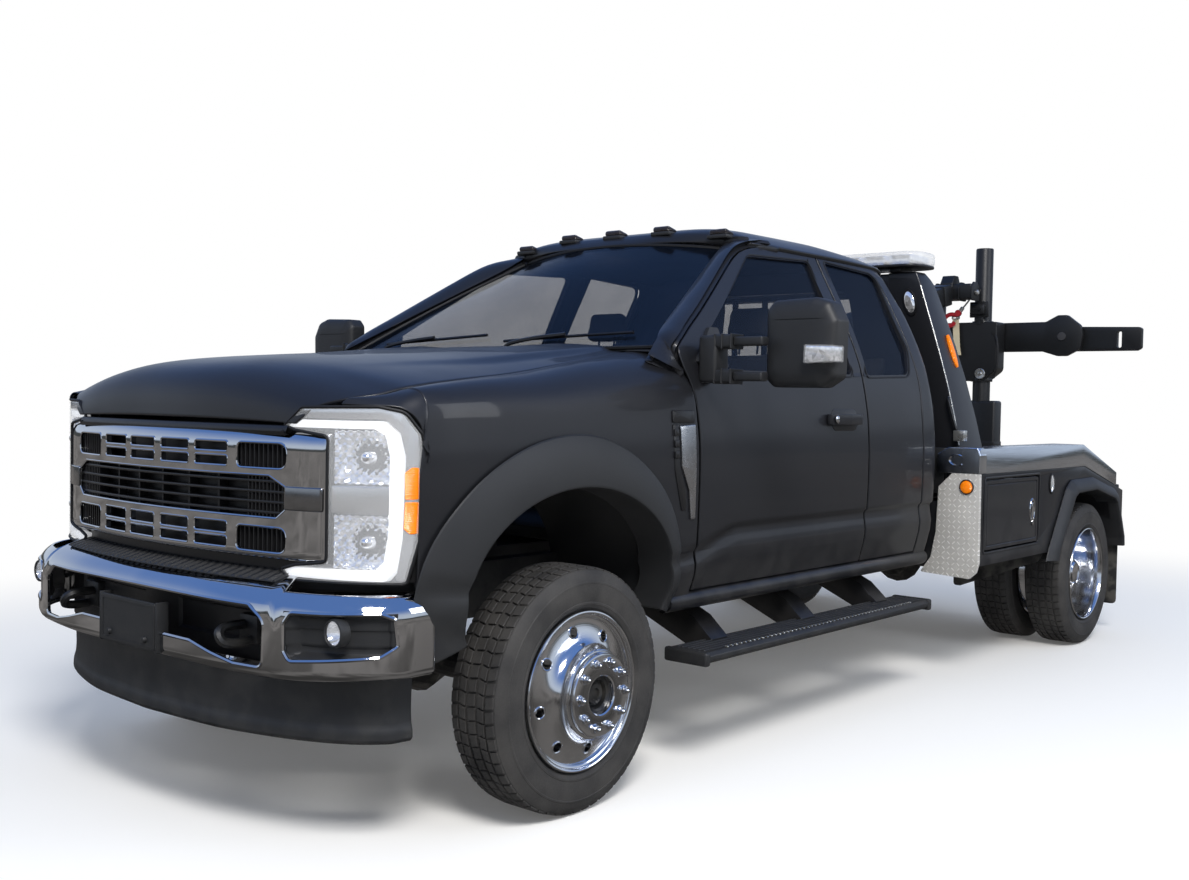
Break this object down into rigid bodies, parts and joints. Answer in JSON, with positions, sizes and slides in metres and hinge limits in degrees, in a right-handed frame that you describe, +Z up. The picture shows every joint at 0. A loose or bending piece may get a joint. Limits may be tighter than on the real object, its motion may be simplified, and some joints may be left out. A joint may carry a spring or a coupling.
{
  "type": "extended-cab dual-rear-wheel tow truck with boom and wheel lift",
  "caption": "Charcoal extended-cab tow truck with twin rear wheels, side toolboxes, light bar, recovery boom and folded wheel lift.",
  "frame": {"origin": "centre of the bounding box on the ground plane", "axes": "+Y towards the tail, +X towards the truck's left side, +Z up"},
  "size_m": [2.98, 6.2672, 2.42],
  "materials": {
    "body_paint": "satin charcoal grey paint",
    "black_plastic": "moulded, fine grain",
    "black_steel": "black gloss paint on steel",
    "frame_steel": "black chassis paint",
    "engine_iron": "bare castings",
    "chrome": "bright plating",
    "polished_aluminium": "polished",
    "bright_plate": "bright mill plate",
    "tyre_rubber": "black rubber",
    "window_glass": "dark tint",
    "lamp_lens": "clear moulded lens",
    "seat_fabric": "woven cloth"
  },
  "bodies": {
    "truck": {"chassis_frame": "frame_steel", "powertrain": "engine_iron", "front_axle": "frame_steel", "rear_axle": "frame_steel", "cab_shell": "body_paint", "windshield": "window_glass", "rear_window": "window_glass", "dashboard": "black_plastic", "front_seats": "seat_fabric", "rear_bench": "seat_fabric", "fender_left": "body_paint", "fender_right": "body_paint", "headlamp_left": "lamp_lens", "headlamp_right": "lamp_lens", "front_support": "black_plastic", "grille": "chrome", "front_bumper": "chrome", "running_board_left": "black_plastic", "running_board_right": "black_plastic", "side_body_left": "body_paint", "side_body_right": "body_paint", "deck_cap_left": "bright_plate", "deck_cap_right": "bright_plate", "fender_flare_left": "black_plastic", "fender_flare_right": "black_plastic", "deck": "bright_plate", "cab_guard": "body_paint", "light_bar": "lamp_lens", "mast": "black_steel"},
    "hood": {"hood": "body_paint"},
    "front_door_left": {"front_door_left": "body_paint", "mirror_left": "black_plastic"},
    "rear_door_left": {"rear_door_left": "body_paint"},
    "toolbox_left": {"toolbox_door_left": "body_paint"},
    "front_door_right": {"front_door_right": "body_paint", "mirror_right": "black_plastic"},
    "rear_door_right": {"rear_door_right": "body_paint"},
    "toolbox_right": {"toolbox_door_right": "body_paint"},
    "boom": {"boom": "black_steel", "recovery_hook": "black_steel"},
    "boom_barrel": {"boom_barrel": "black_steel"},
    "boom_rod": {"boom_rod": "chrome"},
    "lift": {"lift_frame": "black_steel"},
    "carriage": {"carriage": "black_steel"},
    "crossbar": {"crossbar": "black_steel"},
    "arm_left": {"lift_arm_left": "black_steel"},
    "arm_right": {"lift_arm_right": "black_steel"},
    "knuckle_left": {"knuckle_left": "frame_steel"},
    "knuckle_right": {"knuckle_right": "frame_steel"},
    "front_wheel_left": {"front_tyre_left": "tyre_rubber", "front_rim_left": "polished_aluminium"},
    "front_wheel_right": {"front_tyre_right": "tyre_rubber", "front_rim_right": "polished_aluminium"},
    "rear_wheel_left": {"rear_tyre_outer_left": "tyre_rubber", "rear_tyre_inner_left": "tyre_rubber", "rear_rims_left": "polished_aluminium"},
    "rear_wheel_right": {"rear_tyre_outer_right": "tyre_rubber", "rear_tyre_inner_right": "tyre_rubber", "rear_rims_right": "polished_aluminium"}
  },
  "joints": [
    {"name": "hood_hinge", "type": "hinge", "parent": "truck", "child": "hood", "pos_m": [0, -1.56665, 1.59], "axis": [-1, 0, 0], "range_deg": [0, 50]},
    {"name": "front_door_left_hinge", "type": "hinge", "parent": "truck", "child": "front_door_left", "pos_m": [1.02, -1.44665, 0.66], "axis": [0, 0, -1], "range_deg": [0, 65]},
    {"name": "rear_door_left_hinge", "type": "hinge", "parent": "truck", "child": "rear_door_left", "pos_m": [1.02, 0.37335, 0.66], "axis": [0, 0, 1], "range_deg": [0, 80]},
    {"name": "toolbox_left_hinge", "type": "hinge", "parent": "truck", "child": "toolbox_left", "pos_m": [1.2, 0.66335, 0.655], "axis": [0, 0, -1], "range_deg": [0, 110]},
    {"name": "front_door_right_hinge", "type": "hinge", "parent": "truck", "child": "front_door_right", "pos_m": [-1.02, -1.44665, 0.66], "axis": [0, 0, 1], "range_deg": [0, 65]},
    {"name": "rear_door_right_hinge", "type": "hinge", "parent": "truck", "child": "rear_door_right", "pos_m": [-1.02, 0.37335, 0.66], "axis": [0, 0, -1], "range_deg": [0, 80]},
    {"name": "toolbox_right_hinge", "type": "hinge", "parent": "truck", "child": "toolbox_right", "pos_m": [-1.2, 0.66335, 0.655], "axis": [0, 0, 1], "range_deg": [0, 110]},
    {"name": "boom_pivot", "type": "hinge", "parent": "truck", "child": "boom", "pos_m": [0, 1.31835, 1.8], "axis": [1, 0, 0], "range_deg": [0, 25]},
    {"name": "boom_barrel_pivot", "type": "hinge", "parent": "truck", "child": "boom_barrel", "pos_m": [0, 1.62835, 1.12], "axis": [1, 0, 0], "range_deg": [0, 14]},
    {"name": "boom_rod_slide", "type": "slide", "parent": "boom_barrel", "child": "boom_rod", "axis": [0, 0.5331, 0.846], "range_m": [0, 0.26]},
    {"name": "lift_fold", "type": "hinge", "parent": "truck", "child": "lift", "pos_m": [0, 2.84835, 0.62], "axis": [-1, 0, 0], "range_deg": [0, 95]},
    {"name": "carriage_slide", "type": "slide", "parent": "lift", "child": "carriage", "axis": [0, 0, 1], "range_m": [0, 0.42]},
    {"name": "crossbar_swivel", "type": "hinge", "parent": "carriage", "child": "crossbar", "pos_m": [0, 3.04835, 1.8265], "axis": [0, 1, 0], "range_deg": [-12, 12]},
    {"name": "arm_left_pivot", "type": "hinge", "parent": "crossbar", "child": "arm_left", "pos_m": [0.67, 3.09365, 1.8265], "axis": [0, -1, 0], "range_deg": [0, 90]},
    {"name": "arm_right_pivot", "type": "hinge", "parent": "crossbar", "child": "arm_right", "pos_m": [-0.67, 3.09365, 1.8265], "axis": [0, 1, 0], "range_deg": [0, 90]},
    {"name": "steer_left", "type": "hinge", "parent": "truck", "child": "knuckle_left", "pos_m": [0.77, -2.13165, 0.406], "axis": [0, 0, 1], "range_deg": [-30, 30]},
    {"name": "steer_right", "type": "hinge", "parent": "truck", "child": "knuckle_right", "pos_m": [-0.77, -2.13165, 0.406], "axis": [0, 0, 1], "range_deg": [-30, 30]},
    {"name": "front_wheel_left_spin", "type": "hinge", "parent": "knuckle_left", "child": "front_wheel_left", "pos_m": [0.95, -2.13165, 0.406], "axis": [1, 0, 0], "continuous": true},
    {"name": "rear_wheel_left_spin", "type": "hinge", "parent": "truck", "child": "rear_wheel_left", "pos_m": [1.08, 2.13835, 0.406], "axis": [1, 0, 0], "continuous": true},
    {"name": "front_wheel_right_spin", "type": "hinge", "parent": "knuckle_right", "child": "front_wheel_right", "pos_m": [-0.95, -2.13165, 0.406], "axis": [1, 0, 0], "continuous": true},
    {"name": "rear_wheel_right_spin", "type": "hinge", "parent": "truck", "child": "rear_wheel_right", "pos_m": [-1.08, 2.13835, 0.406], "axis": [1, 0, 0], "continuous": true}
  ],
  "couplings": [
    {"joint": "boom_barrel_pivot", "follows": "boom_pivot", "ratio": 0.52},
    {"joint": "boom_rod_slide", "follows": "boom_pivot", "m_per_rad": 0.582},
    {"joint": "steer_right", "follows": "steer_left", "ratio": 1}
  ]
}
